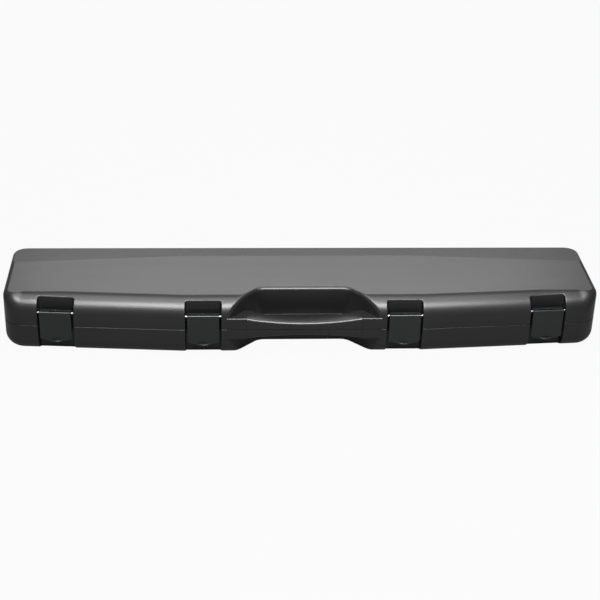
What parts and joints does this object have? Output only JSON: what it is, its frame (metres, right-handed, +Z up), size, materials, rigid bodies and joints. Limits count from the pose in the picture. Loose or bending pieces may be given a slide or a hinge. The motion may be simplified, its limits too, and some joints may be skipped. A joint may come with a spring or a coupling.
{
  "type": "flute case",
  "caption": "Long hard plastic instrument case with a hinged lid, snap latches, a carrying handle in a deep front notch and a fitted foam lining.",
  "frame": {"origin": "middle of the moulded body's length and depth, on its flat underside", "axes": "+X along the length to the right seen from the front, -Y out of the front with the handle and latches, +Z up"},
  "size_m": [0.82, 0.1875, 0.082],
  "materials": {
    "shell_plastic": "fine-grained satin black polypropylene",
    "latch_plastic": "smooth satin black nylon",
    "grip_plastic": "fine-grained satin black grip",
    "pin_steel": "drawn steel wire",
    "base_foam": "dark grey open-cell foam",
    "lid_foam": "dark grey convoluted foam"
  },
  "bodies": {
    "base": {"base_shell": "shell_plastic", "base_foam_pad": "base_foam", "base_foam_bed": "base_foam", "handle_grip_lower": "grip_plastic", "hinge_pin_far_left": "pin_steel", "hinge_pin_left": "pin_steel", "hinge_pin_middle": "pin_steel", "hinge_pin_right": "pin_steel", "hinge_pin_far_right": "pin_steel"},
    "lid": {"lid_shell": "shell_plastic", "lid_foam": "lid_foam", "handle_grip_upper": "grip_plastic", "latch_pin_outer_left": "pin_steel", "latch_pin_inner_left": "pin_steel", "latch_pin_inner_right": "pin_steel", "latch_pin_outer_right": "pin_steel"},
    "outer_left_latch": {"latch_outer_left": "latch_plastic"},
    "inner_left_latch": {"latch_inner_left": "latch_plastic"},
    "inner_right_latch": {"latch_inner_right": "latch_plastic"},
    "outer_right_latch": {"latch_outer_right": "latch_plastic"}
  },
  "joints": [
    {"name": "lid_hinge", "type": "hinge", "parent": "base", "child": "lid", "pos_m": [0, 0.092, 0.0412], "axis": [-1, 0, 0], "range_deg": [0, 180]},
    {"name": "outer_left_latch_pivot", "type": "hinge", "parent": "lid", "child": "outer_left_latch", "pos_m": [-0.33805, -0.06836, 0.0585], "axis": [-0.9976, 0.0699, 0], "range_deg": [0, 105]},
    {"name": "inner_left_latch_pivot", "type": "hinge", "parent": "lid", "child": "inner_left_latch", "pos_m": [-0.138, -0.0805, 0.0585], "axis": [-1, 0, 0], "range_deg": [0, 105]},
    {"name": "inner_right_latch_pivot", "type": "hinge", "parent": "lid", "child": "inner_right_latch", "pos_m": [0.138, -0.0805, 0.0585], "axis": [-1, 0, 0], "range_deg": [0, 105]},
    {"name": "outer_right_latch_pivot", "type": "hinge", "parent": "lid", "child": "outer_right_latch", "pos_m": [0.33805, -0.06836, 0.0585], "axis": [-0.9976, -0.0699, 0], "range_deg": [0, 105]}
  ]
}
